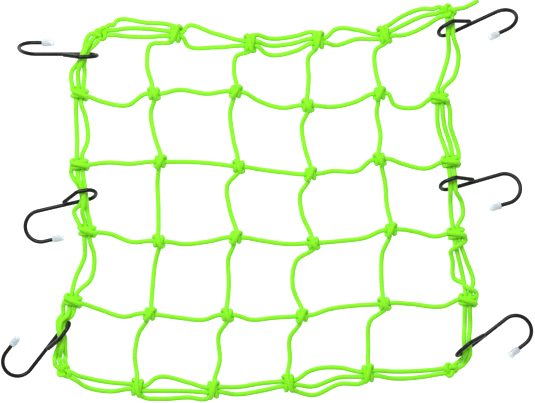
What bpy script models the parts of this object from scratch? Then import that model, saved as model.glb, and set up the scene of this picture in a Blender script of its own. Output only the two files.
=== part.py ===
"""Elastic cargo net with six wire hooks, lying flat. Lengths below are in millimetres, angles in degrees."""

import math

import bmesh
import bpy
from mathutils import Matrix, Vector

MM = 0.001

# Cord
CORD_D = 5.0
CORD_R = CORD_D / 2
CORD_STEP = 19.0  # between points along a tube
GAP = 0.3  # between pieces that touch
SPAN_Z = 3.2  # centre height of a cord half way between knots

# Hitches: the turns of one cord round another
HITCH_R = 7.3
HITCH_LENGTH = 13.0
HITCH_SIDES = 8
KNOT_Z = HITCH_R * math.cos(math.pi / HITCH_SIDES)  # a flat of the hitch lies on the floor
PAIR = CORD_R + 0.15  # each of two strands side by side, off their middle
THIRD = PAIR + 5.6  # a third strand, which ends on a hitch's face
BRANCH = 5.2  # where a cord leaves its own hitch, off the outermost strand that it grips
BRANCH_SHIFT = 3.0
STRAIGHT = 8.0  # half the straight stretch of a strand inside a hitch
EYE_STRAIGHT = 7.0  # and inside a hook's eye
LEAD = 5.0  # how far a strand runs straight from where it ends on a knot
CORNER_R = 8.0

# Wire hooks
WIRE_R = 2.2
WIRE_Z = WIRE_R + 0.1
EYE_R = 9.5
EYE_BACK = 4.0  # the bend's centre, inward of the cords
EYE_FLAT = 6.0  # where the upper leg starts to close in on the shank
EYE_CLOSED = 23.0  # where the upper leg is cut off
LEG_GAP = 2 * WIRE_R + 0.3
SHANK = 51.5  # from the cords to the start of the J
J_R = 16.5
J_SEGMENTS = 13  # odd, so that one lies across the middle of the J
TIP_LEG = 18.0
EYE_TOP = 3.3  # three strands in an eye lie two below and one on top
EYE_LOW = -1.6
CAP_R = 4.0
CAP_LENGTH = 13.0
CAP_DEPTH = 9.0
CAP_SIDES = 12

# The middle of the whole net's box, which becomes the origin
MIDDLE = Vector((0.46, 4.75, 0))

# Every knot of the net: six rows from the top border down, and six columns from the left border.
KNOTS = (
    ((-175, 181), (-97, 180), (-18, 170), (54, 173), (124, 179), (192, 204)),
    ((-198, 117), (-119.5, 117), (-33, 119), (43, 104.5), (119, 117), (182.5, 112)),
    ((-198, 42), (-113, 45), (-30, 40), (46, 32), (119, 47.5), (194, 45)),
    ((-190, -28), (-114.5, -39), (-33, -35), (49, -41), (131, -27), (200, -31)),
    ((-205, -102), (-124, -116), (-42, -117), (37, -118), (124, -105), (212, -101.5)),
    ((-214, -177), (-137, -193.5), (-57, -196), (23, -189), (106.5, -179), (194, -175)),
)
LAST = len(KNOTS) - 1
INNER = range(1, LAST)

# Where each cord goes between its knots. A third number is the height of the cord there.
COLUMN_ROUTES = (
    (((-124, 168), (-127, 148)), ((-123, 97), (-120, 76)), ((-116, 24), (-115, -8)),
     ((-118, -60), (-121, -86)), ((-136, -137), (-140, -160))),
    (((-33, 156), (-35, 141)), ((-39, 98), (-36, 70)), ((-42, 20), (-40, -3)),
     ((-41, -58), (-40.5, -84)), ((-51, -138), (-50, -165))),
    (((44, 156), (44, 134)), ((37, 84), (39, 64)), ((35, 10), (37, -10)),
     ((31, -60), (27, -85)), ((24, -142), (24, -166))),
    (((115, 163), (115, 141)), ((116, 97), (120, 73)), ((125, 22), (127, -2)),
     ((122, -52), (121, -78)), ((109, -124), (107, -151))),
)
ROW_ROUTES = (
    (((-176, 109), (-147, 105)), ((-95, 121), (-62, 117)), ((-10, 110), (18, 102)),
     ((66, 103), (95, 109)), ((134, 106), (160, 103))),
    (((-172, 44), (-143, 43)), ((-88, 45), (-56, 43)), ((-8, 37), (20, 33.5)),
     ((68, 35), (97, 36)), ((143, 43), (169, 38))),
    (((-168, -31), (-142, -40)), ((-90, -42), (-60, -39)), ((-8, -38), (22, -42)),
     ((76, -39), (105, -35)), ((157, -29), (178, -34))),
    (((-178, -111), (-151, -119)), ((-94, -120), (-66, -122)), ((-18, -122), (8, -120)),
     ((66, -111), (96, -107)), ((152, -105.5), (186, -108))),
)
TOP_OUTER = (((-150, 186), (-124, 185.5)), ((-85, 188), (-56, 181)), ((-2, 169), (26, 170)),
             ((72, 185), (98, 184)), ((143.5, 189.5), (168, 200)))
TOP_INNER = (((-152, 178), (-128, 177)), ((-85, 169), (-55, 166)), ((-2, 160), (32, 163)),
             ((70, 168.5), (96, 175)), ((144, 179), (170, 190)))
BOTTOM_OUTER = (((-194, -192), (-164, -198)), ((-112, -197.5), (-80, -198)), ((-36, -201), (-4, -197)),
                ((45, -193), (78, -183)), ((130, -184), (166, -182.5)))
BOTTOM_INNER = (((-190, -184), (-161, -189)), ((-118, -184), (-82, -189)), ((-32, -193.5), (-6, -189.5)),
                ((44, -177), (78, -173)), ((134, -177), (166, -176)))
LEFT_OUTER = (((-188, 168.5, 12.8), (-199.5, 140, 10)), ((-202, 92), (-201, 67)),
              ((-199, 26, 12.4), (-195, -8.5, 11)),
              ((-193, -54), (-203, -79)),
              ((-212.5, -116, 12.8), (-219.5, -123, 14.4), (-216, -150, 13.6), (-221, -164, 3.8)))
LEFT_INNER = (((-193, 139, 5),), ((-192, 92), (-190, 67)), ((-190, -8, 5),),
              ((-183, -54), (-187, -80)),
              ((-207, -116.5, 6.5), (-216, -123, 8.8), (-213.3, -150, 8.4), (-214.5, -163)))
RIGHT_OUTER = (((203, 160), (198, 135)), ((188, 82), (194, 63)), ((206, 2), (207, -12)),
               ((210, -57), (218, -84)), ((215, -128), (209.5, -168)))
RIGHT_INNER = (((192, 160), (184.5, 133)), ((181, 82), (187, 63)), ((194, 2), (195, -13)),
               ((203, -58), (208, -81)), ((209, -128), (204, -166)))
BORDER_ROUTES = {
    ("top", 1): TOP_OUTER, ("top", -1): TOP_INNER,
    ("bottom", 1): BOTTOM_OUTER, ("bottom", -1): BOTTOM_INNER,
    ("left", 1): LEFT_OUTER, ("left", -1): LEFT_INNER,
    ("right", 1): RIGHT_OUTER, ("right", -1): RIGHT_INNER,
}

# Third strands: the border, the span that each lies in, its side (1 is outside), and its route
THIRD_STRANDS = (
    ("top", 0, 1, ((-160, 193.5), (-126, 192))),
    ("top", 2, 1, ((0, 176), (32, 178.5))),
    ("top", 4, 1, ((142, 198.5), (166, 207))),
    ("bottom", 1, 1, ((-112, -206), (-82, -204.5))),
    ("bottom", 3, 1, ((47, -202), (78, -190))),
    ("left", 0, 1, ((-206.5, 140, 6),)),
    ("left", 2, 1, ((-204, -7, 4.5),)),
    ("left", 4, 1, ((-219.5, -117, 6.5), (-223, -123, 8.8), (-219, -150, 8.3), (-228.6, -162))),
    ("right", 1, 1, ((194.5, 81), (200.5, 63))),
    ("right", 3, -1, ((196, -58), (199.5, -80))),
)

# Hooks: name, border, span, middle of the cords in the eye, direction of those cords, heading of the
# shank, side of the J (1 is left of the heading), tilt of the eye, and lean of the J off the floor
HOOKS = (
    ("top_left", "left", 0, (-193, 157), 250, 180, -1, 78, 72),
    ("middle_left", "left", 2, (-194, 9), 276, 193, 1, 60, 4),
    ("bottom_left", "left", 4, (-217, -136), 280, 232, -1, 75, 20),
    ("top_right", "right", 0, (193.5, 186), 272, 25, -1, 60, 48),
    ("middle_right", "right", 2, (196, 22), 272, 16, -1, 60, 18),
    ("bottom_right", "right", 4, (211, -151), 275, 38, -1, 75, 4),
)

TAIL_ROUTE = ((200.2, 205.5, KNOT_Z), (207, 207.5, 5.5), (215, 211, 3.2), (223, 215.5, 2.7))

LIME = (0.22, 0.85, 0.02, 1)
BLACK = (0.012, 0.012, 0.013, 1)
CLOUDY = (0.83, 0.87, 0.9, 1)


def clear_scene():
    for thing in list(bpy.data.objects):
        bpy.data.objects.remove(thing, do_unlink=True)


def make_collection(name):
    made = bpy.data.collections.new(name)
    bpy.context.scene.collection.children.link(made)
    return made


def material(name, colour, roughness):
    made = bpy.data.materials.new(name)
    made.use_nodes = True
    surface = made.node_tree.nodes["Principled BSDF"]
    surface.inputs["Base Color"].default_value = colour
    surface.inputs["Roughness"].default_value = roughness
    made.diffuse_color = colour
    return made


def flat(angle):
    """A level unit vector at this angle from +X."""
    return Vector((math.cos(math.radians(angle)), math.sin(math.radians(angle)), 0))


def knot(row, column):
    return Vector((*KNOTS[row][column], KNOT_Z))


def along_row(row, column):
    """The direction of a row at one of its knots, level, towards the right."""
    return (knot(row, min(column + 1, LAST)) - knot(row, max(column - 1, 0))).normalized()


def along_column(row, column):
    """The direction of a column at one of its knots, level, downwards on the page."""
    return (knot(min(row + 1, LAST), column) - knot(max(row - 1, 0), column)).normalized()


def turned_left(direction):
    return Vector((-direction.y, direction.x, 0))


def lifted(points):
    return [Vector((p[0], p[1], p[2] if len(p) > 2 else SPAN_Z)) for p in points]


def smooth(points):
    """Points about CORD_STEP apart on a smooth curve through the route's own points."""
    padded = [2 * points[0] - points[1], *points, 2 * points[-1] - points[-2]]
    found = [points[0]]
    for before, start, end, after in zip(padded, padded[1:], padded[2:], padded[3:]):
        steps = max(1, round((end - start).length / CORD_STEP))
        for step in range(1, steps + 1):
            t = step / steps
            found.append(
                0.5 * (2 * start + (end - before) * t
                       + (2 * before - 5 * start + 4 * end - after) * t**2
                       + (3 * start - before - 3 * end + after) * t**3)
            )
    return found


def tube(name, points, radius, collection, tilt=0.0):
    """A round tube through the points, closed at both ends."""
    curve = bpy.data.curves.new(name, "CURVE")
    curve.dimensions = "3D"
    curve.bevel_depth = radius * MM
    curve.bevel_resolution = 2
    curve.use_fill_caps = True
    line = curve.splines.new("POLY")
    line.points.add(len(points) - 1)
    for spot, place in zip(line.points, points):
        spot.co = (*(place * MM), 1)
        spot.tilt = tilt
    made = bpy.data.objects.new(name, curve)
    collection.objects.link(made)
    return made


def ring_outline(curve, radius, half_width):
    """A closed outline with round ends and flat long sides, in the curve's own plane."""
    line = curve.splines.new("POLY")
    line.points.add(HITCH_SIDES - 1)
    line.use_cyclic_u = True
    for index, spot in enumerate(line.points):
        angle = 2 * math.pi * (index + 0.5) / HITCH_SIDES
        side = math.copysign(half_width, math.cos(angle))
        spot.co = ((side + radius * math.cos(angle)) * MM, radius * math.sin(angle) * MM, 0, 1)


def hitch(name, place, direction, half_width, collection):
    """The turns of a cord, as a sleeve that is open round the strands that it grips."""
    curve = bpy.data.curves.new(name, "CURVE")
    curve.dimensions = "2D"
    curve.fill_mode = "BOTH"
    curve.extrude = HITCH_LENGTH / 2 * MM
    bore = (CORD_R + GAP) / math.cos(math.pi / HITCH_SIDES)
    for radius in (HITCH_R, bore):
        ring_outline(curve, radius, half_width)
    made = bpy.data.objects.new(name, curve)
    across = turned_left(direction)
    turn = Matrix((across, Vector((0, 0, 1)), across.cross(Vector((0, 0, 1))))).transposed()
    made.matrix_world = Matrix.Translation(place * MM) @ turn.to_4x4()
    collection.objects.link(made)
    return made


def as_mesh(made):
    """The object as a closed mesh object of the same name and place."""
    bpy.context.view_layer.update()
    graph = bpy.context.evaluated_depsgraph_get()
    mesh = bpy.data.meshes.new_from_object(made.evaluated_get(graph))
    shape = bmesh.new()
    shape.from_mesh(mesh)
    bmesh.ops.remove_doubles(shape, verts=shape.verts, dist=1e-6)
    bmesh.ops.recalc_face_normals(shape, faces=shape.faces)
    shape.to_mesh(mesh)
    shape.free()
    name, place, home = made.name, made.matrix_world.copy(), made.users_collection[0]
    bpy.data.objects.remove(made)
    solid = bpy.data.objects.new(name, mesh)
    solid.matrix_world = place
    home.objects.link(solid)
    return solid


def joined(name, pieces, cutters):
    """One solid of overlapping pieces. The first stays, and the others are its hidden helpers."""
    solids = [as_mesh(piece) for piece in pieces]
    helpers = make_helpers(name, solids[1:], cutters)
    solids[0].name = name
    union = solids[0].modifiers.new("Join", "BOOLEAN")
    union.operation = "UNION"
    union.operand_type = "COLLECTION"
    union.collection = helpers
    return solids[0]


def make_helpers(name, solids, cutters):
    helpers = bpy.data.collections.new(f"{name}_pieces")
    cutters.children.link(helpers)
    for solid in solids:
        solid.users_collection[0].objects.unlink(solid)
        helpers.objects.link(solid)
        solid.hide_render = True
    return helpers


def column_cord(column, net, cutters):
    """A cord down the net, with a hitch round every row cord and round both borders."""
    name = f"column_cord_{column}"
    pieces, leaving = [], None
    for row in range(LAST + 1):
        place, along = knot(row, column), along_row(row, column)
        border = row in (0, LAST)
        half_width = PAIR if border else 0.0
        pieces.append(hitch(f"{name}_hitch_{row}", place, along, half_width, net))
        down = -turned_left(along)
        reach = half_width + BRANCH
        if leaving is not None:
            arriving = place - down * reach + along * BRANCH_SHIFT
            route = smooth([leaving, *lifted(COLUMN_ROUTES[column - 1][row - 1]), arriving])
            pieces.append(tube(f"{name}_span_{row}", route, CORD_R, net))
        leaving = place + down * reach - along * BRANCH_SHIFT
    return joined(name, pieces, cutters)


def row_cord(row, net, cutters):
    """A cord across the net, through the column cords' hitches, with a hitch round each side border."""
    name = f"row_cord_{row}"
    pieces = []
    for column in (0, LAST):
        along = along_column(row, column)
        pieces.append(hitch(f"{name}_hitch_{column}", knot(row, column), along, PAIR, net))
    reach = PAIR + BRANCH
    inward = turned_left(along_column(row, 0))
    points = [knot(row, 0) + inward * reach]
    for column in INNER:
        place, along = knot(row, column), along_row(row, column)
        points += lifted(ROW_ROUTES[row - 1][column - 1])
        points += [place - along * STRAIGHT, place + along * STRAIGHT]
    points += lifted(ROW_ROUTES[row - 1][LAST - 1])
    points.append(knot(row, LAST) - turned_left(along_column(row, LAST)) * reach)
    pieces.append(tube(f"{name}_run", smooth(points), CORD_R, net))
    return joined(name, pieces, cutters)


def border_knots(border):
    """The (row, column) of each knot along one border, from the left or from the top."""
    steps = range(LAST + 1)
    return {
        "top": [(0, step) for step in steps],
        "bottom": [(LAST, step) for step in steps],
        "left": [(step, 0) for step in steps],
        "right": [(step, LAST) for step in steps],
    }[border]


def border_frame(border, index):
    """(place, direction along the border, direction outwards) at one of its knots."""
    row, column = border_knots(border)[index]
    sideways = border in ("top", "bottom")
    along = along_row(row, column) if sideways else along_column(row, column)
    outward = turned_left(along) * (1 if border in ("top", "right") else -1)
    return knot(row, column), along, outward


def eye_height(tilt):
    """The height of the cords in an eye whose lower leg lies on the floor."""
    return WIRE_Z + EYE_R * math.sin(math.radians(tilt))


def eye_passage(border, span, place_in_eye):
    """The straight stretch of a strand inside a hook's eye, if a hook sits in this span."""
    for _, on, where, middle, direction, _, _, tilt, _ in HOOKS:
        if (on, where) == (border, span):
            along = flat(direction)
            outward = turned_left(along) * (1 if border == "right" else -1)
            centre = Vector((*middle, eye_height(tilt))) + Vector((0, 0, place_in_eye[1]))
            centre += outward * place_in_eye[0]
            return [centre - along * EYE_STRAIGHT, centre + along * EYE_STRAIGHT]
    return []


def three_abreast(border, span):
    return any((border, span) == strand[:2] for strand in THIRD_STRANDS)


def strand_points(border, span, side):
    """One of the two border strands between two knots, with its passage through a hook's eye."""
    place_in_eye = (side * PAIR, 0)
    if three_abreast(border, span):
        place_in_eye = (0, EYE_TOP) if side == 1 else (-PAIR, EYE_LOW)
    points = lifted(BORDER_ROUTES[border, side][span]) + eye_passage(border, span, place_in_eye)
    return sorted(points, key=lambda point: -point.y) if border in ("left", "right") else points


def corner_direction(border, index):
    """The direction in which a border's strands leave a corner knot."""
    span, end = (0, 0) if index == 0 else (LAST - 1, -1)
    first = sum((strand_points(border, span, side)[end] for side in (1, -1)), Vector()) / 2
    away = first - border_frame(border, index)[0]
    return Vector((away.x, away.y, 0)).normalized()


def corner_end(border, index, offset):
    """Where a strand meets a corner knot, and the end of its straight lead from there."""
    place, _, outward = border_frame(border, index)
    away = corner_direction(border, index)
    across = turned_left(away)
    across *= math.copysign(1, across.dot(outward))
    start = place + away * (CORNER_R + GAP) + across * offset
    return [start, start + away * LEAD]


def border_strand(border, side, net):
    """One strand of a border, through every hitch between its two corner knots."""
    points = corner_end(border, 0, side * PAIR)
    for index in INNER:
        place, along, outward = border_frame(border, index)
        centre = place + outward * side * PAIR
        points += strand_points(border, index - 1, side)
        points += [centre - along * STRAIGHT, centre + along * STRAIGHT]
    points += strand_points(border, LAST - 1, side)
    points += reversed(corner_end(border, LAST, side * PAIR))
    name = f"{border}_{'outer' if side == 1 else 'inner'}_strand"
    return tube(name, smooth(points), CORD_R, net)


def third_end(border, index, side, sign):
    """Where a third strand meets a knot, and the end of its straight lead from there."""
    if index in (0, LAST):
        return corner_end(border, index, side * THIRD)
    place, along, outward = border_frame(border, index)
    start = place + outward * side * THIRD + along * sign * (HITCH_LENGTH / 2 + GAP)
    return [start, start + along * sign * LEAD]


def third_strand(border, span, side, route, net):
    """A strand that lies in one span only, and meets a knot at each end."""
    points = lifted(route) + eye_passage(border, span, (side * PAIR, EYE_LOW))
    if border in ("left", "right"):
        points.sort(key=lambda point: -point.y)
    points = third_end(border, span, side, 1) + points
    points += reversed(third_end(border, span + 1, side, -1))
    return tube(f"{border}_link_{span + 1}", smooth(points), CORD_R, net)


def corner_knot(name, row, column, net):
    """The knot where the strands of two borders meet."""
    mesh = bpy.data.meshes.new(name)
    shape = bmesh.new()
    bmesh.ops.create_uvsphere(shape, u_segments=12, v_segments=8, radius=CORNER_R * MM)
    bmesh.ops.scale(shape, vec=(1, 1, KNOT_Z / CORNER_R), verts=shape.verts)
    shape.to_mesh(mesh)
    shape.free()
    mesh.shade_smooth()
    made = bpy.data.objects.new(name, mesh)
    made.location = knot(row, column) * MM
    net.objects.link(made)
    return made


def hook_axes(heading, j_side, tilt, lean):
    """(outward along the shank, across the eye to its upper leg, from the shank to the J's tip)"""
    outward = flat(heading)
    to_j = turned_left(outward) * j_side
    up = Vector((0, 0, 1))
    tilt, lean = math.radians(tilt), math.radians(lean)
    return (
        outward,
        -to_j * math.cos(tilt) + up * math.sin(tilt),
        to_j * math.cos(lean) + up * math.sin(lean),
    )


def hook_route(outward, across, to_j):
    """The wire from its cut end, round the eye, along the shank and round the J, from the hinge."""
    points = [
        outward * EYE_CLOSED + across * (LEG_GAP - EYE_R),
        outward * EYE_FLAT + across * EYE_R,
    ]
    bends = 9
    for step in range(bends + 1):
        angle = math.radians(90 + 180 * step / bends)
        points.append(outward * (EYE_R * math.cos(angle) - EYE_BACK) + across * EYE_R * math.sin(angle))
    shank = -across * EYE_R
    for step in range(J_SEGMENTS + 1):
        angle = math.pi * step / J_SEGMENTS
        points.append(shank + outward * (SHANK + J_R * math.sin(angle)) + to_j * J_R * (1 - math.cos(angle)))
    points.append(shank + outward * (SHANK - TIP_LEG) + to_j * 2 * J_R)
    return points


def cap(name, tip, inward, net):
    """A push-on cap: a cup turned about the wire, whose end is at tip."""
    bore = WIRE_R + GAP
    floor, mouth = GAP, -CAP_DEPTH
    bottom = mouth + CAP_LENGTH
    profile = (
        (0, floor), (bore, floor), (bore, mouth), (CAP_R - 0.5, mouth), (CAP_R, mouth + 0.6),
        (CAP_R, bottom - 1.8), (CAP_R - 1.4, bottom - 0.3), (0, bottom),
    )
    mesh = bpy.data.meshes.new(name)
    edges = [(index, index + 1) for index in range(len(profile) - 1)]
    mesh.from_pydata([(radius * MM, 0, height * MM) for radius, height in profile], edges, [])
    made = bpy.data.objects.new(name, mesh)
    turned = made.modifiers.new("Turn", "SCREW")
    turned.steps = turned.render_steps = CAP_SIDES
    turned.use_merge_vertices = True
    turned.merge_threshold = 1e-6
    turned.use_normal_calculate = True
    made.matrix_world = Matrix.Translation(tip) @ inward.to_track_quat("Z", "Y").to_matrix().to_4x4()
    net.objects.link(made)
    return made


def hook(name, middle, heading, j_side, tilt, lean, net):
    """A bent wire hook and its cap, under an empty on the hinge."""
    hinge = bpy.data.objects.new(f"swing_{name}", None)
    net.objects.link(hinge)
    hinge.location = Vector((*middle, eye_height(tilt))) * MM
    route = hook_route(*hook_axes(heading, j_side, tilt, lean))
    route.reverse()
    wire = tube(f"hook_{name}", route, WIRE_R, net, tilt=math.pi / 8)
    wire.parent = hinge
    ending = cap(f"cap_{name}", route[0] * MM, (route[0] - route[1]).normalized(), net)
    ending.parent = hinge
    return wire, ending


def paint(made, colour):
    made.data.materials.clear()
    made.data.materials.append(colour)


def main():
    clear_scene()
    net = make_collection("elastic_cargo_net")
    cutters = make_collection("joined_pieces")
    cutters.hide_render = True
    lime = material("elastic_cord", LIME, 0.6)
    black = material("hook_vinyl", BLACK, 0.35)
    cloudy = material("cap_plastic", CLOUDY, 0.4)

    cords = [column_cord(column, net, cutters) for column in INNER]
    cords += [row_cord(row, net, cutters) for row in INNER]
    cords += [border_strand(border, side, net) for border, side in BORDER_ROUTES]
    cords += [third_strand(*strand, net) for strand in THIRD_STRANDS]
    for name, row, column in (
        ("top_left", 0, 0), ("top_right", 0, LAST), ("bottom_left", LAST, 0), ("bottom_right", LAST, LAST),
    ):
        cords.append(corner_knot(f"corner_knot_{name}", row, column, net))
    tail = [Vector(point) for point in TAIL_ROUTE]
    cords.append(tube("cord_tail", smooth(tail), CORD_R, net))
    for cord in cords:
        paint(cord, lime)

    for name, _, _, middle, _, heading, j_side, tilt, lean in HOOKS:
        wire, ending = hook(name, middle, heading, j_side, tilt, lean, net)
        paint(wire, black)
        paint(ending, cloudy)
    for thing in (*net.objects, *cutters.all_objects):
        if thing.parent is None:
            thing.location -= MIDDLE * MM


main()
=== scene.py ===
"""Elastic cargo net with six wire hooks: the cords with their knots, the coated hooks and their caps.

Lengths in the route lists are in millimetres on the net's own plan, and angles are in degrees.
"""

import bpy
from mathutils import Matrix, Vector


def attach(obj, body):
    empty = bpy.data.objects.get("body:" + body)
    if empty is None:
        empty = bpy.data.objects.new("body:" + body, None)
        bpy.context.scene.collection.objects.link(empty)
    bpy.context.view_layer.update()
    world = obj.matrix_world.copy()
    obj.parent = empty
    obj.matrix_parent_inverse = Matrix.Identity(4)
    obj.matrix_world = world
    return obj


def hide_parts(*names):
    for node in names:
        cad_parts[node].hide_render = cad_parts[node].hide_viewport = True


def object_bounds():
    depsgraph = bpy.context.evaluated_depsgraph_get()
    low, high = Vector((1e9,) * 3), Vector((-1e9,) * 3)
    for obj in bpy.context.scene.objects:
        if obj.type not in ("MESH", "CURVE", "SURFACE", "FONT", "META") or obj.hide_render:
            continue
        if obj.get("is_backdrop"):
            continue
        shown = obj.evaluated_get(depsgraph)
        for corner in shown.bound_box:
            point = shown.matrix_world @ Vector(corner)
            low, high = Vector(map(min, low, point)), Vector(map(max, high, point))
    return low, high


bl_info = {
    "name": "Elastic Cargo Net",
    "version": (1, 0, 0),
    "blender": (4, 5, 0),
    "location": "View3D > Sidebar > Cargo Net",
    "description": "Builds the braided cords, knots, hooks, caps and stage round the packed net",
    "category": "Add Mesh",
}

import bpy
import numpy as np

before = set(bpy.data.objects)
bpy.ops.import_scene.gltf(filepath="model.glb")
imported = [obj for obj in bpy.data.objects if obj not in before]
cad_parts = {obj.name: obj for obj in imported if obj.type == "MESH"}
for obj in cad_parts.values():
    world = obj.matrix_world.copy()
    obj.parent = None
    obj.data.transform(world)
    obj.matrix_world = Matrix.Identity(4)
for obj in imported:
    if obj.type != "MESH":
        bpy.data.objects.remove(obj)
CAD_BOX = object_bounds()

MM = 0.001
UP = np.array([0.0, 0.0, 1.0])
CORD_R = 2.55
SPAN_Z = 3.2  # centre height of a cord half way between knots
KNOT_Z = 6.744  # centre height of a cord inside a hitch
MIDDLE = np.array([0.46, 4.75, 0.0])  # middle of the plan, which lies over the origin
PAIR = 2.65  # each of two strands side by side, off their middle
THIRD = 8.25  # a third strand beside the pair
STRAIGHT = 8.0  # half the straight stretch of a strand inside a hitch
EYE_STRAIGHT = 7.0  # and inside a hook's eye
CORNER_R = 8.0
WIRE_R = 2.2
WIRE_Z = WIRE_R + 0.1
EYE_R = 9.5  # of the eye's bend, to the wire's centre line
EYE_BACK = 4.0  # from the hinge back to the centre of that bend
EYE_FLAT = 6.0  # from the hinge to where the open leg turns in
EYE_CLOSED = 23.0  # and to the wire's cut end
LEG_GAP = 4.7  # between the cut end's middle and the shank's
SHANK = 51.5  # from the hinge to the start of the J
J_R = 16.5  # of the J's bend, to the wire's centre line
TIP_LEG = 18.0  # straight leg after the J
EYE_TOP = 3.3  # from the eye's middle up to a strand that lies on two others
EYE_LOW = -1.6  # and to those two
CAP_R = 4.0
CAP_LENGTH = 13.0
CAP_DEPTH = 9.0  # how far the wire goes in
CORNER_INSIDE = 3.0  # how far from a corner knot's middle each strand begins
CORNER_CLEAR = 0.5  # past the knot's radius, where the strand comes out
CORNER_LEAD = 5.0  # straight stretch after that
CORNER_SPREAD = 4.0  # most that the strands lie apart inside the knot
CORNER_SQUEEZE = 0.8
TREFOIL_SCALE = 2.15
TREFOIL_HEIGHT = 0.95
TREFOIL_POINTS = 96

TURN_R = 4.75  # centre line of a hitch's turns, off the strand that they grip
TURN_BACK = 0.9  # share of that radius under the strand
TURN_START, TURN_END, TURN_STEP = 38.0, 863.0, 12.5  # degrees round the strand
TURN_SHIFT = (  # degrees round the strand, and the place along it
    (0, 1.1), (90, 2.3), (180, 3.5), (270, 4.3), (360, 5.2), (450, 0),
    (540, -5.2), (630, -4.3), (720, -3.5), (810, -2.3), (900, -1.1),
)
RIDE = 3.9  # how much further out the diagonal turn lies
RIDE_START, RIDE_SPAN = 372, 156  # degrees round the strand
RIDE_FULLNESS = 0.7  # under 1 makes the half sine blunter
FLAT_TOP = 1.8  # how soon a turn round a pair of strands reaches its full width

# Where a third strand leaves a hitch: (outwards, along, up) from the knot, for each side of the pair
LINK_START = {
    1: ((9.4, 7.5, 0.5),),
    -1: ((9, 8, 0), (0, 13, 4.5), (-THIRD, 19, -2)),
}
TAIL_START = ((1, 0.5, 0), (8, 2.5, 0))  # from the middle of the corner knot
TAIL_CORE_R = CORD_R * 0.72
TAIL_CORE_STATIONS = (-1.0, -0.3, 0.35, 0.6)  # along the tail, from its cut end

CORD_STEP = 1.4  # between points along a finished cord
KNOT_STEP = 1.0
WIRE_STEP = 0.7
WIRE_SIDES = 24
WIRE_END = 0.8  # length of a wire's rounded end, in radii
WIRE_END_START = 0.06  # share of that length at which the rounding starts
CAP_SIDES = 28
CAP_BORE = WIRE_R + 0.15
CAP_FLOOR = 0.3  # from the wire's tip to the bottom of the bore
CAP_DOME = 2.6  # height of the rounded end
CAP_GROOVE = 3.4  # from the mouth to a shallow groove round the side
GROOVE_HALF_WIDTH = 0.4
GROOVE_DEPTH = 0.25
FLOOR_HALF = 12.0

# Every knot of the net: six rows from the top border down, and six columns from the left border.
KNOTS = (
    ((-175, 181), (-97, 180), (-18, 170), (54, 173), (124, 179), (192, 204)),
    ((-198, 117), (-119.5, 117), (-33, 119), (43, 104.5), (119, 117), (182.5, 112)),
    ((-198, 42), (-113, 45), (-30, 40), (46, 32), (119, 47.5), (194, 45)),
    ((-190, -28), (-114.5, -39), (-33, -35), (49, -41), (131, -27), (200, -31)),
    ((-205, -102), (-124, -116), (-42, -117), (37, -118), (124, -105), (212, -101.5)),
    ((-214, -177), (-137, -193.5), (-57, -196), (23, -189), (106.5, -179), (194, -175)),
)
LAST = len(KNOTS) - 1
INNER = range(1, LAST)

# Where each cord goes between its knots. A third number is the height of the cord there.
COLUMN_ROUTES = (
    (((-124, 168), (-127, 148)), ((-123, 97), (-120, 76)), ((-116, 24), (-115, -8)),
     ((-118, -60), (-121, -86)), ((-136, -137), (-140, -160))),
    (((-33, 156), (-35, 141)), ((-39, 98), (-36, 70)), ((-42, 20), (-40, -3)),
     ((-41, -58), (-40.5, -84)), ((-51, -138), (-50, -165))),
    (((44, 156), (44, 134)), ((37, 84), (39, 64)), ((35, 10), (37, -10)),
     ((31, -60), (27, -85)), ((24, -142), (24, -166))),
    (((115, 163), (115, 141)), ((116, 97), (120, 73)), ((125, 22), (127, -2)),
     ((122, -52), (121, -78)), ((109, -124), (107, -151))),
)
ROW_ROUTES = (
    (((-176, 109), (-147, 105)), ((-95, 121), (-62, 117)), ((-10, 110), (18, 102)),
     ((66, 103), (95, 109)), ((134, 106), (160, 103))),
    (((-172, 44), (-143, 43)), ((-88, 45), (-56, 43)), ((-8, 37), (20, 33.5)),
     ((68, 35), (97, 36)), ((143, 43), (169, 38))),
    (((-168, -31), (-142, -40)), ((-90, -42), (-60, -39)), ((-8, -38), (22, -42)),
     ((76, -39), (105, -35)), ((157, -29), (178, -34))),
    (((-178, -111), (-151, -119)), ((-94, -120), (-66, -122)), ((-18, -122), (8, -120)),
     ((66, -111), (96, -107)), ((152, -105.5), (186, -108))),
)
TOP_OUTER = (((-150, 186), (-124, 185.5)), ((-85, 188), (-56, 181)), ((-2, 169), (26, 170)),
             ((72, 185), (98, 184)), ((143.5, 189.5), (168, 200)))
TOP_INNER = (((-152, 178), (-128, 177)), ((-85, 169), (-55, 166)), ((-2, 160), (32, 163)),
             ((70, 168.5), (96, 175)), ((144, 179), (170, 190)))
BOTTOM_OUTER = (((-194, -192), (-164, -198)), ((-112, -197.5), (-80, -198)), ((-36, -201), (-4, -197)),
                ((45, -193), (78, -183)), ((130, -184), (166, -182.5)))
BOTTOM_INNER = (((-190, -184), (-161, -189)), ((-118, -184), (-82, -189)), ((-32, -193.5), (-6, -189.5)),
                ((44, -177), (78, -173)), ((134, -177), (166, -176)))
LEFT_OUTER = (((-188, 168.5, 12.8), (-199.5, 140, 10)), ((-202, 92), (-201, 67)),
              ((-199, 26, 12.4), (-195, -8.5, 11)),
              ((-193, -54), (-203, -79)),
              ((-210.5, -117, 11.5), (-217, -124, 14), (-216.5, -150, 13.6), (-219.5, -164, 5)))
LEFT_INNER = (((-193, 139, 5),), ((-192, 92), (-190, 67)), ((-190, -8, 5),),
              ((-183, -54), (-187, -80)),
              ((-206.5, -118, 6.5), (-214, -124, 9), (-213.3, -150, 8.4), (-213.5, -163)))
RIGHT_OUTER = (((202.5, 158, 4.5), (198, 135)), ((188, 82), (194, 63)), ((206, 2), (207, -12)),
               ((210, -57), (218, -84)), ((215, -128), (209.5, -168)))
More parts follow.
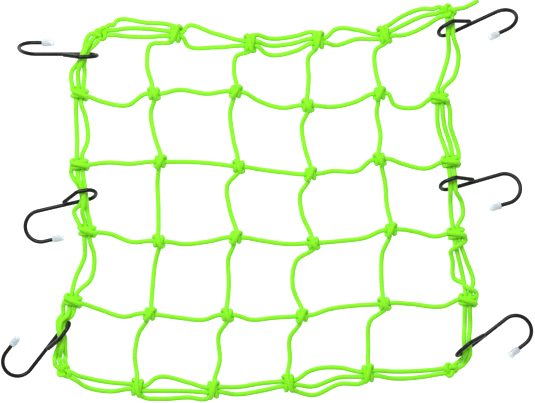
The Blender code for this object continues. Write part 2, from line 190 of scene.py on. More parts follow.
RIGHT_INNER = (((192, 160), (184.5, 133)), ((181, 82), (187, 63)), ((194, 2), (195, -13)),
               ((203, -58), (208, -81)), ((209, -128), (204, -166)))
BORDER_ROUTES = {
    ("top", 1): TOP_OUTER, ("top", -1): TOP_INNER,
    ("bottom", 1): BOTTOM_OUTER, ("bottom", -1): BOTTOM_INNER,
    ("left", 1): LEFT_OUTER, ("left", -1): LEFT_INNER,
    ("right", 1): RIGHT_OUTER, ("right", -1): RIGHT_INNER,
}

# Third strands: the border, the span that each lies in, its side (1 is outside), and its route
THIRD_STRANDS = (
    ("top", 0, 1, ((-160, 193.5), (-126, 192))),
    ("top", 2, 1, ((0, 176), (32, 178.5))),
    ("top", 4, 1, ((142, 198.5), (166, 207))),
    ("bottom", 1, 1, ((-112, -206), (-82, -204.5))),
    ("bottom", 3, 1, ((47, -202), (78, -190))),
    ("left", 0, 1, ((-206.5, 140, 6),)),
    ("left", 2, 1, ((-204, -7, 4.5),)),
    ("left", 4, 1, ((-215.5, -115, 6), (-221, -124, 8.8), (-220.3, -150, 8.3), (-224.8, -162))),
    ("right", 1, 1, ((194.5, 81), (200.5, 63))),
    ("right", 3, -1, ((196, -58), (199.5, -80))),
)

# Hooks: name, border, span, middle of the cords in the eye, direction of those cords, heading of the
# shank, side of the J (1 is left of the heading), tilt of the eye, and lean of the J off the floor
HOOKS = (
    ("top_left", "left", 0, (-193, 157), 250, 180, -1, 78, 72),
    ("middle_left", "left", 2, (-194, 9), 276, 193, 1, 60, 4),
    ("bottom_left", "left", 4, (-217, -136), 280, 232, -1, 75, 20),
    ("top_right", "right", 0, (193.5, 186), 272, 25, -1, 60, 48),
    ("middle_right", "right", 2, (196, 22), 272, 16, -1, 60, 18),
    ("bottom_right", "right", 4, (211, -151), 275, 38, -1, 75, 4),
)

TAIL_ROUTE = ((207, 207.5, 5.5), (215, 211, 3.2), (223, 215.5, 2.7))


class CARGONET_PG_cord(bpy.types.PropertyGroup):
    """The elastic cord's sizes and colours."""

    sides: bpy.props.IntProperty(name="Sides", description="Flats round a cord", default=16, min=8, max=32)
    light: bpy.props.FloatVectorProperty(
        name="Yarn", description="Colour of the braid's raised yarns",
        default=(0.32, 0.98, 0.018), size=3, subtype="COLOR", min=0, max=1,
    )
    # Painted shade between the yarns: a darker green than the cord's own, put into the colour of the
    # braid's low parts
    painted_gap_shade: bpy.props.FloatVectorProperty(
        name="Gaps", description="Colour between the yarns",
        default=(0.10, 0.62, 0.004), size=3, subtype="COLOR", min=0, max=1,
    )
    core: bpy.props.FloatVectorProperty(
        name="Rubber", description="Colour of the rubber threads at the cut end",
        default=(0.03, 0.05, 0.025), size=3, subtype="COLOR", min=0, max=1,
    )


class CARGONET_PG_hook(bpy.types.PropertyGroup):
    """The hooks' and caps' colours."""

    vinyl: bpy.props.FloatVectorProperty(
        name="Vinyl", description="Colour of the wire's coat",
        default=(0.004, 0.004, 0.0045), size=3, subtype="COLOR", min=0, max=1,
    )
    cap: bpy.props.FloatVectorProperty(
        name="Cap", description="Colour of the cloudy cap",
        default=(0.78, 0.85, 0.9), size=3, subtype="COLOR", min=0, max=1,
    )


class CARGONET_PG_stage(bpy.types.PropertyGroup):
    """The camera and the floor."""

    view_width: bpy.props.FloatProperty(
        name="View width", description="Width seen at the net", default=0.567, unit="LENGTH", min=0.1,
    )
    camera_height: bpy.props.FloatProperty(
        name="Camera height", description="Camera above the net", default=2.6, unit="LENGTH", min=0.5,
    )
    floor_drop: bpy.props.FloatProperty(
        name="Floor drop", description="Floor below the net", default=0.11, unit="LENGTH", min=0.0,
    )


# Vectors and routes


def unit(vector):
    return vector / np.linalg.norm(vector)


def flat(angle):
    """A level unit vector at this angle from +X."""
    return np.array([np.cos(np.radians(angle)), np.sin(np.radians(angle)), 0.0])


def turned_left(direction):
    return np.array([-direction[1], direction[0], 0.0])


def lifted(points):
    """Route points as an array, at the height of a free cord where none is given."""
    return np.array([(p[0], p[1], p[2] if len(p) > 2 else SPAN_Z) for p in points], float)


def knot(row, column):
    return np.array([*KNOTS[row][column], KNOT_Z])


def along_row(row, column):
    return unit(knot(row, min(column + 1, LAST)) - knot(row, max(column - 1, 0)))


def along_column(row, column):
    return unit(knot(min(row + 1, LAST), column) - knot(max(row - 1, 0), column))


def border_frame(border, index):
    """(place, direction along the border, direction outwards) at one of a border's knots."""
    row, column = {
        "top": (0, index), "bottom": (LAST, index), "left": (index, 0), "right": (index, LAST),
    }[border]
    along = along_row(row, column) if border in ("top", "bottom") else along_column(row, column)
    outward = turned_left(along) * (1 if border in ("top", "right") else -1)
    return knot(row, column), along, outward


def eye_height(tilt):
    return WIRE_Z + EYE_R * np.sin(np.radians(tilt))


def eye_passage(border, span, place_in_eye):
    """The straight stretch of a strand inside a hook's eye, if a hook sits in this span."""
    for _, on, where, middle, direction, _, _, tilt, _ in HOOKS:
        if (on, where) == (border, span):
            along = flat(direction)
            outward = turned_left(along) * (1 if border == "right" else -1)
            centre = np.array([*middle, eye_height(tilt) + place_in_eye[1]]) + outward * place_in_eye[0]
            return [centre - along * EYE_STRAIGHT, centre + along * EYE_STRAIGHT]
    return []


def three_abreast(border, span):
    return any((border, span) == strand[:2] for strand in THIRD_STRANDS)


def down_the_page(border, points):
    points = np.array(points)
    return points[np.argsort(-points[:, 1])] if border in ("left", "right") else points


def strand_points(border, span, side):
    """One of the two border strands between two knots, with its passage through a hook's eye."""
    place_in_eye = (side * PAIR, 0)
    if three_abreast(border, span):
        place_in_eye = (0, EYE_TOP) if side == 1 else (-PAIR, EYE_LOW)
    points = [*lifted(BORDER_ROUTES[border, side][span]), *eye_passage(border, span, place_in_eye)]
    return down_the_page(border, points)


def corner_end(border, index, offset):
    """Where a strand goes into a corner knot, from inside the knot to just outside it."""
    span, end = (0, 0) if index == 0 else (LAST - 1, -1)
    place, _, outward = border_frame(border, index)
    first = sum(strand_points(border, span, side)[end] for side in (1, -1)) / 2
    away = first - place
    away[2] = 0
    away = unit(away)
    across = turned_left(away)
    across = across * np.sign(across @ outward)
    spread = np.clip(offset, -CORNER_SPREAD, CORNER_SPREAD) * CORNER_SQUEEZE
    inside = place + away * CORNER_INSIDE + across * spread
    start = place + away * (CORNER_R + CORNER_CLEAR) + across * offset
    return [inside, start, start + away * CORNER_LEAD]


def border_strand(border, side):
    """The route of one strand of a border, through every hitch between its two corner knots."""
    points = corner_end(border, 0, side * PAIR)
    for index in INNER:
        place, along, outward = border_frame(border, index)
        centre = place + outward * side * PAIR
        points.extend(strand_points(border, index - 1, side))
        points += [centre - along * STRAIGHT, centre + along * STRAIGHT]
    points.extend(strand_points(border, LAST - 1, side))
    points.extend(reversed(corner_end(border, LAST, side * PAIR)))
    return np.array(points)


def turns(place, along, half_width, hand=1):
    """A clove hitch: front, back, a diagonal over the front, back again, and front under the diagonal.

    The angle runs from the side that the cord comes in on, up over the front. The place along the post
    is read off a few turning points, and the diagonal rides out on half a sine. The hand says which
    way the diagonal leans.
    """
    angle = np.arange(TURN_START, TURN_END, TURN_STEP)
    shift = np.interp(angle, *np.transpose(TURN_SHIFT)) * hand
    through_ride = np.clip((angle - RIDE_START) / RIDE_SPAN, 0, 1)
    ride = RIDE * np.sin(np.pi * through_ride) ** RIDE_FULLNESS
    cos, sin = np.cos(np.radians(angle)), np.sin(np.radians(angle))
    radius = np.where(sin < 0, TURN_BACK, 1.0) * TURN_R
    down = -turned_left(along)
    across = -cos * (TURN_R + ride) - half_width * np.clip(cos * FLAT_TOP, -1, 1)
    height = sin * (radius + ride)
    return place + shift[:, None] * along + across[:, None] * down + height[:, None] * UP


def column_route(column):
    """A column cord from the top border's hitch to the bottom border's."""
    parts = []
    for row in range(LAST + 1):
        half_width = PAIR if row in (0, LAST) else 0.0
        hand = 1 if (row + column) % 2 else -1
        parts.append(turns(knot(row, column), along_row(row, column), half_width, hand))
        if row < LAST:
            parts.append(lifted(COLUMN_ROUTES[column - 1][row]))
    return np.concatenate(parts)


def row_route(row):
    """A row cord from the left border's hitch, straight through the column hitches, to the right's."""
    parts = [turns(knot(row, 0), along_column(row, 0), PAIR)[::-1]]
    for column in INNER:
        place, along = knot(row, column), along_row(row, column)
        parts.append(lifted(ROW_ROUTES[row - 1][column - 1]))
        parts.append(np.array([place - along * STRAIGHT, place, place + along * STRAIGHT]))
    parts.append(lifted(ROW_ROUTES[row - 1][LAST - 1]))
    parts.append(turns(knot(row, LAST), along_column(row, LAST), PAIR)[::-1])
    return np.concatenate(parts)


def link_end(border, index, side, sign):
    """The way from a hitch's outer side into the third strand beside the pair."""
    if index in (0, LAST):
        return corner_end(border, index, side * THIRD)
    place, along, outward = border_frame(border, index)
    return [
        place + outward * out + along * sign * forward + UP * up
        for out, forward, up in LINK_START[side]
    ]


def link_route(border, span, side, route):
    points = down_the_page(border, [*lifted(route), *eye_passage(border, span, (side * PAIR, EYE_LOW))])
    return np.array([
        *link_end(border, span, side, 1), *points, *reversed(link_end(border, span + 1, side, -1)),
    ])


def smooth(points, step=CORD_STEP):
    """Points a step apart on a cubic through the route's points, and the interval that each lies in.

    The slope at a point weighs the shorter of its two neighbouring chords more, so a long free span
    runs into a tight turn with no overshoot.
    """
    chord = np.linalg.norm(np.diff(points, axis=0), axis=1)
    slope = np.diff(points, axis=0) / chord[:, None]
    before, after = chord[:-1, None], chord[1:, None]
    middle = (slope[:-1] * after + slope[1:] * before) / (before + after)
    tangent = np.concatenate([slope[:1], middle, slope[-1:]])
    count = np.maximum(1, np.round(chord / step)).astype(int)
    interval = np.repeat(np.arange(len(chord)), count)
    first = np.repeat(np.cumsum(count) - count, count)
    t = ((np.arange(len(interval)) - first) / np.repeat(count, count))[:, None]
    h = chord[interval, None]
    found = (
        (2 * t**3 - 3 * t**2 + 1) * points[interval] + (t**3 - 2 * t**2 + t) * h * tangent[interval]
        + (3 * t**2 - 2 * t**3) * points[interval + 1] + (t**3 - t**2) * h * tangent[interval + 1]
    )
    return np.concatenate([found, points[-1:]]), np.append(interval, len(chord) - 1)


def carried_frames(path):
    """Two cross directions at every point of a path, turned no more than the path itself turns."""
    tangents = np.gradient(path, axis=0)
    tangents /= np.linalg.norm(tangents, axis=1)[:, None]
    side = np.cross(tangents[0], UP if abs(tangents[0][2]) < 0.9 else np.array([1.0, 0, 0]))
    sides = np.empty_like(path)
    for index, tangent in enumerate(tangents):
        side = unit(side - tangent * (side @ tangent))
        sides[index] = side
    return sides, np.cross(tangents, sides)


# Meshes and materials


def lengths_along(path):
    """How far along the path each of its points lies."""
    return np.concatenate([[0], np.cumsum(np.linalg.norm(np.diff(path, axis=0), axis=1))])


def circles(side, up, radii, sides):
    """Circles of these radii as offsets from their centres, each across its own two directions."""
    angle = np.linspace(0, 2 * np.pi, sides, endpoint=False)
    cos, sin = np.cos(angle)[None, :, None], np.sin(angle)[None, :, None]
    return (cos * side[:, None] + sin * up[:, None]) * radii[:, None, None]


def ringed_mesh(name, rings):
    """A closed mesh through rings of points, with its side faces first and its two ends last."""
    count, sides = rings.shape[:2]
    i, j = np.meshgrid(np.arange(count - 1), np.arange(sides), indexing="ij")
    after = (j + 1) % sides
    quads = np.stack(
        [i * sides + j, i * sides + after, (i + 1) * sides + after, (i + 1) * sides + j], axis=-1,
    )
    first_end = list(range(sides))[::-1]
    last_end = list(range((count - 1) * sides, count * sides))
    mesh = bpy.data.meshes.new(name)
    points = ((rings - MIDDLE) * MM).reshape(-1, 3)
    mesh.from_pydata(points.tolist(), [], [*quads.reshape(-1, 4).tolist(), first_end, last_end])
    mesh.shade_smooth()
    mesh.update()
    return mesh


def lay_sheath_map(mesh, lengthwise, sides):
    """A UV map of turns round a tube against its length in circumferences. The ends stay at zero."""
    i, j = np.meshgrid(np.arange(len(lengthwise) - 1), np.arange(sides), indexing="ij")
    around = np.stack([j, j + 1, j + 1, j], axis=-1) / sides
    here, beyond = lengthwise[i], lengthwise[i + 1]
    along = np.stack([here, here, beyond, beyond], axis=-1)
    loops = np.zeros((len(mesh.loops), 2))
    loops[: around.size] = np.stack([around.reshape(-1), along.reshape(-1)], axis=-1)
    mesh.uv_layers.new(name="Sheath").data.foreach_set("uv", loops.reshape(-1))


def tube_piece(name, path, radius, sides, frames=None, start=0.0, round_ends=False):
    """A tube: a circle carried along the path, with its length and its angle as a UV map.

    With round ends, the radius falls almost to nothing as a quarter circle at both ends.
    """
    side, up = frames if frames else carried_frames(path)
    length = lengths_along(path)
    radii = np.full(len(path), radius)
    if round_ends:
        near = np.minimum(length, length[-1] - length) / (radius * WIRE_END)
        radii = radius * np.sqrt(1 - (1 - np.clip(near, WIRE_END_START, 1)) ** 2)
    mesh = ringed_mesh(name, path[:, None] + circles(side, up, radii, sides))
    lay_sheath_map(mesh, (start + length) / (2 * np.pi * radius), sides)
    return shown(name, mesh)


def turned_piece(name, profile, tip, axis, sides):
    """A profile of (radius, height) turned once about an axis through the tip."""
    radius, height = np.array(profile, float).T
    side = unit(np.cross(axis, UP if abs(axis[2]) < 0.9 else np.array([1.0, 0, 0])))
    sideways = np.tile(side, (len(profile), 1))
    upwards = np.cross(axis, sideways)
    centres = tip + height[:, None] * axis
    return shown(name, ringed_mesh(name, centres[:, None] + circles(sideways, upwards, radius, sides)))


def shown(name, mesh):
    made = bpy.data.objects.new(name, mesh)
    bpy.context.scene.collection.objects.link(made)
    return made


def finish(made, surface, body, slot, *nodes):
    made.data.materials.append(surface)
    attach(made, body)
    if nodes:
        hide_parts(*nodes)


def new_group(name, inputs, outputs):
    """An empty shader group with float inputs, their defaults, and named outputs."""
    group = bpy.data.node_groups.new(name, "ShaderNodeTree")
    for label, default in inputs:
        socket = group.interface.new_socket(label, in_out="INPUT", socket_type="NodeSocketFloat")
        socket.default_value = default
    for label, kind in outputs:
        group.interface.new_socket(label, in_out="OUTPUT", socket_type=kind)
    return group, group.nodes.new("NodeGroupInput"), group.nodes.new("NodeGroupOutput")


def maths(tree, operation, first, second=None):
    """A Math node whose operands are sockets or numbers."""
    node = tree.nodes.new("ShaderNodeMath")
    node.operation = operation
    for socket, value in zip(node.inputs, (first, second)):
        if value is None:
            continue
        if isinstance(value, (int, float)):
            socket.default_value = value
        else:
            tree.links.new(value, socket)
    return node.outputs[0]


def braid_group():
    """The braided sheath: two families of yarns cross, each riding over the other in turn.

    Every yarn is a half sine across its width. Which family is on top follows a checker of the two
    yarn counts, and fine strands run along each yarn.
    """
    if "braided_sheath" in bpy.data.node_groups:
        return bpy.data.node_groups["braided_sheath"]
    group, given, result = new_group(
        "braided_sheath", (("Yarns round", 8.0), ("Yarns along", 7.0)),
        (("Height", "NodeSocketFloat"), ("Wear", "NodeSocketFloat")),
    )
    uv = group.nodes.new("ShaderNodeUVMap")
    uv.uv_map = "Sheath"
    split = group.nodes.new("ShaderNodeSeparateXYZ")
    group.links.new(uv.outputs[0], split.inputs[0])
    around = maths(group, "MULTIPLY", split.outputs[0], given.outputs[0])
    along = maths(group, "MULTIPLY", split.outputs[1], given.outputs[1])
    one = maths(group, "ADD", around, along)
    other = maths(group, "SUBTRACT", around, along)
    ridges = [
        maths(group, "SINE", maths(group, "MULTIPLY", maths(group, "FRACT", family), np.pi))
        for family in (one, other)
    ]
    whole = [maths(group, "FLOOR", family) for family in (one, other)]
    checker = maths(group, "MODULO", maths(group, "ABSOLUTE", maths(group, "ADD", *whole)), 2.0)
    top = maths(group, "MULTIPLY", ridges[0], checker)
    low = maths(group, "MULTIPLY", ridges[1], maths(group, "SUBTRACT", 1.0, checker))
    raised = maths(group, "ADD", top, low)
    fine = maths(group, "SINE", maths(group, "MULTIPLY", one, 6 * np.pi))
    height = maths(group, "ADD", raised, maths(group, "MULTIPLY", fine, 0.06))
    group.links.new(height, result.inputs[0])
    place = group.nodes.new("ShaderNodeTexCoord")
    noise = group.nodes.new("ShaderNodeTexNoise")
    noise.inputs["Scale"].default_value = 60.0
    group.links.new(place.outputs["Object"], noise.inputs["Vector"])
    group.links.new(noise.outputs["Fac"], result.inputs[1])
    return group


def plain_surface(name, colour, roughness):
    made = bpy.data.materials.new(name)
    made.use_nodes = True
    shader = made.node_tree.nodes["Principled BSDF"]
    shader.inputs["Base Color"].default_value = (*colour, 1)
    shader.inputs["Roughness"].default_value = roughness
    made.diffuse_color = (*colour, 1)
    return made, made.node_tree, shader


def bump_into(tree, shader, height, strength, distance):
    bump = tree.nodes.new("ShaderNodeBump")
    bump.inputs["Strength"].default_value = strength
    bump.inputs["Distance"].default_value = distance
    tree.links.new(height, bump.inputs["Height"])
    tree.links.new(bump.outputs[0], shader.inputs["Normal"])


def cord_surface(settings):
    """Bright matt braided sheath: lime on the raised yarns, with painted shade darkening the low parts
    between them, faintly worn.
    """
    if "cord_braid" in bpy.data.materials:
        return bpy.data.materials["cord_braid"]
    made, tree, shader = plain_surface("cord_braid", settings.light, roughness=0.55)
    shader.inputs["Specular IOR Level"].default_value = 0.15
    group = tree.nodes.new("ShaderNodeGroup")
    group.node_tree = braid_group()
    # Painted shade: where the braid lies low the colour falls to the darker gap colour, and where it is
    # raised it is the yarns' lime
    ramp = tree.nodes.new("ShaderNodeValToRGB")
    ramp.color_ramp.elements[0].position = 0.15
    ramp.color_ramp.elements[0].color = (*settings.painted_gap_shade, 1)
    ramp.color_ramp.elements[1].position = 0.75
    ramp.color_ramp.elements[1].color = (*settings.light, 1)
    tree.links.new(group.outputs["Height"], ramp.inputs["Fac"])
    worn = tree.nodes.new("ShaderNodeMix")
    worn.data_type = "RGBA"
    worn.blend_type = "MULTIPLY"
    worn.inputs["B"].default_value = (0.86, 0.93, 0.8, 1)
    tree.links.new(group.outputs["Wear"], worn.inputs["Factor"])
    tree.links.new(ramp.outputs[0], worn.inputs["A"])
    tree.links.new(worn.outputs["Result"], shader.inputs["Base Color"])
    bump_into(tree, shader, group.outputs["Height"], strength=0.55, distance=0.0004)
    return made


def speckled(tree, scale):
    """A fine noise on Object coordinates."""
    place = tree.nodes.new("ShaderNodeTexCoord")
    noise = tree.nodes.new("ShaderNodeTexNoise")
    noise.inputs["Scale"].default_value = scale
    noise.inputs["Detail"].default_value = 4
    tree.links.new(place.outputs["Object"], noise.inputs["Vector"])
    return noise.outputs["Fac"]


def ranged(tree, value, low, high):
    span = tree.nodes.new("ShaderNodeMapRange")
    span.inputs["To Min"].default_value = low
    span.inputs["To Max"].default_value = high
    tree.links.new(value, span.inputs["Value"])
    return span.outputs[0]


def vinyl_surface(settings):
    """Dipped black vinyl: glossy, with slow waves from the dip and rubbed patches."""
    if "dipped_vinyl" in bpy.data.materials:
        return bpy.data.materials["dipped_vinyl"]
    made, tree, shader = plain_surface("dipped_vinyl", settings.vinyl, roughness=0.3)
    shader.inputs["Specular IOR Level"].default_value = 0.22
    patches = ranged(tree, speckled(tree, scale=90.0), low=0.22, high=0.42)
    tree.links.new(patches, shader.inputs["Roughness"])
    bump_into(tree, shader, speckled(tree, scale=350.0), strength=0.15, distance=0.0003)
    return made


def cap_surface(settings):
    """Cloudy soft plastic: partly clear, with an uneven sheen."""
    if "cloudy_cap" in bpy.data.materials:
        return bpy.data.materials["cloudy_cap"]
    made, tree, shader = plain_surface("cloudy_cap", settings.cap, roughness=0.35)
    shader.inputs["Transmission Weight"].default_value = 0.45
    shader.inputs["IOR"].default_value = 1.4
    patches = ranged(tree, speckled(tree, scale=140.0), low=0.25, high=0.5)
    tree.links.new(patches, shader.inputs["Roughness"])
    bump_into(tree, shader, speckled(tree, scale=500.0), strength=0.1, distance=0.0002)
    return made


# Pieces


def serpentine(parts):
    """Parts of one cord in order, as smooth paths that meet exactly, with the frames they share."""
    route = np.concatenate([points for _, points in parts])
    label = np.concatenate([np.full(len(points), index) for index, (_, points) in enumerate(parts)])
    path, interval = smooth(route)
    owner = label[interval]
    side, up = carried_frames(path)
    length = lengths_along(path)
    for index, (name, _) in enumerate(parts):
        chosen = np.flatnonzero(owner == index)
        span = slice(chosen[0], min(chosen[-1] + 2, len(path)))
        yield name, path[span], (side[span], up[span]), length[span][0]


def links():
    return {
        f"{border}_link_{span + 1}": link_route(border, span, side, route)
        for border, span, side, route in THIRD_STRANDS
    }


def long_cord(kind, ends, route_of):
    """The parts of a long cord in order: a link at one end of the net, a column or row, and so on."""
    link = links()
    parts = []
    for index in INNER:
        onward = index % 2 == 1
        name = f"{ends[0] if onward else ends[1]}_link_{index}"
        parts.append((name, link[name]))
        route = route_of(index)
        parts.append((f"{kind}_cord_{index}", route if onward else route[::-1]))
    name = f"{ends[0]}_link_{LAST}"
    parts.append((name, link[name]))
    return parts


def lay_cord(parts, settings):
    """Makes the tubes of one long cord."""
    surface = cord_surface(settings)
    for name, path, frames, start in serpentine(parts):
        made = tube_piece(f"braided_{name}", path, CORD_R, settings.sides, frames, start)
        finish(made, surface, "net", "elastic_cord", name)


def tail_route():
    corner = knot(0, LAST)
    return np.array([*(corner + offset for offset in TAIL_START), *lifted(TAIL_ROUTE)])


class CARGONET_OT_column_cord(bpy.types.Operator):
    """Lays the long cord of the columns, from the top left corner to its free tail"""

    bl_idname = "cargonet.column_cord"
    bl_label = "Column cord"

    def execute(self, context):
        settings = context.scene.cargonet_cord
        parts = long_cord("column", ("top", "bottom"), column_route)
        lay_cord([*parts, ("cord_tail", tail_route())], settings)
        self.add_cut_end(settings)
        return {"FINISHED"}

    def add_cut_end(self, settings):
        """The rubber threads that show where the cord was cut."""
        rubber, tree, shader = plain_surface("cut_rubber", settings.core, roughness=0.8)
        bump_into(tree, shader, speckled(tree, scale=2500.0), strength=0.6, distance=0.0003)
        before_end, end = tail_route()[-2:]
        away = unit(end - before_end)
        path = np.array([end + away * station for station in TAIL_CORE_STATIONS])
        made = tube_piece("cut_end_core", path, TAIL_CORE_R, settings.sides)
        finish(made, rubber, "net", "elastic_cord")


class CARGONET_OT_row_cord(bpy.types.Operator):
    """Lays the long cord of the rows, between the two left corners"""

    bl_idname = "cargonet.row_cord"
    bl_label = "Row cord"

    def execute(self, context):
        lay_cord(long_cord("row", ("left", "right"), row_route), context.scene.cargonet_cord)
        return {"FINISHED"}


class CARGONET_OT_border(bpy.types.Operator):
    """Lays the two strands along each border"""

    bl_idname = "cargonet.border"
    bl_label = "Border strands"

    def execute(self, context):
        settings = context.scene.cargonet_cord
        for border, side in BORDER_ROUTES:
            name = f"{border}_{'outer' if side == 1 else 'inner'}_strand"
            path, _ = smooth(border_strand(border, side))
            made = tube_piece(f"braided_{name}", path, CORD_R, settings.sides)
            finish(made, cord_surface(settings), "net", "elastic_cord", name)
        return {"FINISHED"}


class CARGONET_OT_corner_knots(bpy.types.Operator):
    """Ties the overhand knots at the four corners"""

    bl_idname = "cargonet.corner_knots"
    bl_label = "Corner knots"

    def execute(self, context):
        settings = context.scene.cargonet_cord
        angle = np.linspace(0, 2 * np.pi, TREFOIL_POINTS + 1)[:-2]
        trefoil = np.stack([
            np.sin(angle) + 2 * np.sin(2 * angle),
            np.cos(angle) - 2 * np.cos(2 * angle),
            -TREFOIL_HEIGHT * np.sin(3 * angle),
        ], axis=-1)
        for name, row, column, turn in (
            ("top_left", 0, 0, 20), ("top_right", 0, LAST, 75),
            ("bottom_left", LAST, 0, 45), ("bottom_right", LAST, LAST, 100),
        ):
            cross = flat(turn)
            placed = trefoil[:, :1] * cross + trefoil[:, 1:2] * turned_left(cross) + trefoil[:, 2:] * UP
            path, _ = smooth(knot(row, column) + placed * TREFOIL_SCALE, KNOT_STEP)
            made = tube_piece(f"knotted_{name}", path, CORD_R, settings.sides)
            finish(made, cord_surface(settings), "net", "elastic_cord", f"corner_knot_{name}")
        return {"FINISHED"}


def hook_axes(heading, j_side, tilt, lean):
    """(outward along the shank, across the eye to its upper leg, from the shank to the J's tip)"""
    outward = flat(heading)
    to_j = turned_left(outward) * j_side
    tilt, lean = np.radians(tilt), np.radians(lean)
    return (
        outward, -to_j * np.cos(tilt) + UP * np.sin(tilt), to_j * np.cos(lean) + UP * np.sin(lean),
    )


def hook_route(middle, outward, across, to_j, tilt):
    """The wire from its cut end, round the eye, along the shank and round the J."""
    hinge = np.array([*middle, eye_height(tilt)])
    shut = outward * EYE_CLOSED + across * (LEG_GAP - EYE_R)
    open_leg = outward * EYE_FLAT + across * EYE_R
    bend = np.radians(np.linspace(90, 270, 19))[:, None]
    eye = outward * (EYE_R * np.cos(bend) - EYE_BACK) + across * EYE_R * np.sin(bend)
    turn = np.radians(np.linspace(0, 180, 25))[:, None]
    shank = -across * EYE_R
    j = shank + outward * (SHANK + J_R * np.sin(turn)) + to_j * J_R * (1 - np.cos(turn))
    tip = shank + outward * (SHANK - TIP_LEG) + to_j * 2 * J_R
    t = np.linspace(0, 1, 9)[:, None]
    leg = shut + (open_leg - shut) * t[:-1]
    long_side = eye[-1] + (j[0] - eye[-1]) * np.linspace(0, 1, 19)[1:-1, None]
    last = j[-1] + (tip - j[-1]) * t[1:]
    return hinge + np.concatenate([leg, open_leg[None], eye, long_side, j, last])


def wires():
    """Each hook's name, with the route of its wire."""
    for name, _, _, middle, _, heading, j_side, tilt, lean in HOOKS:
        yield name, hook_route(middle, *hook_axes(heading, j_side, tilt, lean), tilt)


class CARGONET_OT_hooks(bpy.types.Operator):
    """Bends the six coated wire hooks"""

    bl_idname = "cargonet.hooks"
    bl_label = "Wire hooks"

    def execute(self, context):
        surface = vinyl_surface(context.scene.cargonet_hook)
        for name, route in wires():
            path, _ = smooth(route, WIRE_STEP)
            made = tube_piece(f"coated_hook_{name}", path, WIRE_R, WIRE_SIDES, round_ends=True)
            finish(made, surface, f"{name}_hook", "hook_vinyl", f"hook_{name}")
        return {"FINISHED"}


class CARGONET_OT_caps(bpy.types.Operator):
    """Pushes a cloudy cap on each hook's tip"""

    bl_idname = "cargonet.caps"
    bl_label = "Tip caps"

    def execute(self, context):
        surface = cap_surface(context.scene.cargonet_hook)
        for name, route in wires():
            axis = unit(route[-1] - route[-2])
            made = turned_piece(f"soft_cap_{name}", self.profile(), route[-1], axis, CAP_SIDES)
            finish(made, surface, f"{name}_hook", "cap_plastic", f"cap_{name}")
        return {"FINISHED"}

    def profile(self):
        """The bore from its closed end to the mouth, a rolled rim, the side, and a domed end."""
        mouth, end = -CAP_DEPTH, CAP_LENGTH - CAP_DEPTH
        rim = np.radians(np.linspace(180, 360, 9))
        middle = (CAP_BORE + CAP_R) / 2
        roll = (CAP_R - CAP_BORE) / 2
        rolled = [(middle + roll * np.cos(a), mouth + roll + roll * np.sin(a)) for a in rim]
        dome = np.radians(np.linspace(0, 88, 12))
        domed = [(CAP_R * np.cos(a), end - CAP_DOME + CAP_DOME * np.sin(a)) for a in dome]
        inside = [(0.05, CAP_FLOOR), (CAP_BORE * 0.7, CAP_FLOOR), (CAP_BORE, 0.0), (CAP_BORE, -1.0)]
        groove = mouth + CAP_GROOVE
        side = [
            (CAP_R, groove - GROOVE_HALF_WIDTH),
            (CAP_R - GROOVE_DEPTH, groove),
            (CAP_R, groove + GROOVE_HALF_WIDTH),
        ]
        return [*inside, *rolled, *side, *domed]


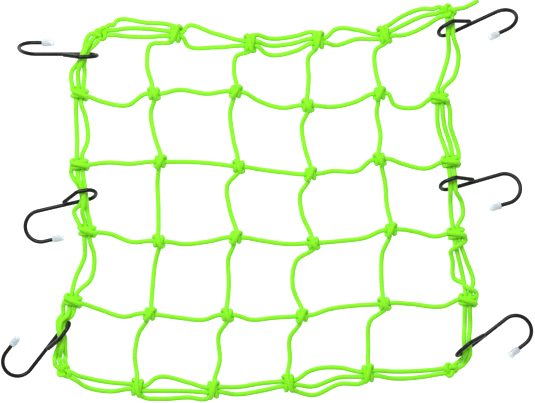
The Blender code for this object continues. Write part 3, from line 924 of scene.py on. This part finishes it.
class CARGONET_OT_stage(bpy.types.Operator):
    """Sets the camera over the net, soft light and a plain white floor"""

    bl_idname = "cargonet.stage"
    bl_label = "Stage"

    def execute(self, context):
        settings = context.scene.cargonet_stage
        lens = bpy.data.cameras.new("camera")
        lens.sensor_width = 36
        lens.lens = 36 * settings.camera_height / settings.view_width
        camera = bpy.data.objects.new("camera", lens)
        camera.location = (0, -0.0018, settings.camera_height)
        context.scene.collection.objects.link(camera)
        context.scene.camera = camera
        context.scene.view_settings.view_transform = "Standard"
        self.add_floor(settings)
        self.add_lights(context)
        return {"FINISHED"}

    def add_floor(self, settings):
        corners = [
            (x * FLOOR_HALF, y * FLOOR_HALF, -settings.floor_drop)
            for x, y in ((-1, -1), (1, -1), (1, 1), (-1, 1))
        ]
        mesh = bpy.data.meshes.new("floor")
        mesh.from_pydata(corners, [], [(0, 1, 2, 3)])
        floor = shown("floor", mesh)
        white, _, shader = plain_surface("white_floor", (0.9, 0.9, 0.9), roughness=0.9)
        shader.inputs["Emission Color"].default_value = (1, 1, 1, 1)
        shader.inputs["Emission Strength"].default_value = 0.5
        mesh.materials.append(white)
        floor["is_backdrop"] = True

    def add_lights(self, context):
        world = bpy.data.worlds.new("studio")
        world.use_nodes = True
        world.node_tree.nodes["Background"].inputs["Color"].default_value = (1, 1, 1, 1)
        world.node_tree.nodes["Background"].inputs["Strength"].default_value = 0.55
        context.scene.world = world
        light = bpy.data.lights.new("softbox", "AREA")
        light.size = 0.9
        light.energy = 30
        softbox = bpy.data.objects.new("softbox", light)
        softbox.location = (-0.35, 0.9, 1.6)
        softbox.rotation_euler = (np.radians(-29), np.radians(-12), 0)
        context.scene.collection.objects.link(softbox)


class CARGONET_PT_panel(bpy.types.Panel):
    """Lists the net's pieces in the sidebar"""

    bl_label = "Cargo Net"
    bl_idname = "CARGONET_PT_panel"
    bl_space_type = "VIEW_3D"
    bl_region_type = "UI"
    bl_category = "Cargo Net"

    def draw(self, context):
        for operator in OPERATORS:
            self.layout.operator(operator.bl_idname)


OPERATORS = (
    CARGONET_OT_stage, CARGONET_OT_column_cord, CARGONET_OT_row_cord, CARGONET_OT_border,
    CARGONET_OT_corner_knots, CARGONET_OT_hooks, CARGONET_OT_caps,
)
GROUPS = {
    "cargonet_cord": CARGONET_PG_cord,
    "cargonet_hook": CARGONET_PG_hook,
    "cargonet_stage": CARGONET_PG_stage,
}


def register():
    for name, group in GROUPS.items():
        bpy.utils.register_class(group)
        setattr(bpy.types.Scene, name, bpy.props.PointerProperty(type=group))
    for made in (*OPERATORS, CARGONET_PT_panel):
        bpy.utils.register_class(made)


def unregister():
    for made in (CARGONET_PT_panel, *reversed(OPERATORS)):
        bpy.utils.unregister_class(made)
    for name, group in GROUPS.items():
        delattr(bpy.types.Scene, name)
        bpy.utils.unregister_class(group)


def main():
    register()
    bpy.ops.cargonet.stage()
    bpy.ops.cargonet.column_cord()
    bpy.ops.cargonet.row_cord()
    bpy.ops.cargonet.border()
    bpy.ops.cargonet.corner_knots()
    bpy.ops.cargonet.hooks()
    bpy.ops.cargonet.caps()
    boxes = {
        name: [list(map(float, corner)) for corner in box]
        for name, box in (("cad", CAD_BOX), ("visual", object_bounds()))
    }


if __name__ == "__main__":
    main()
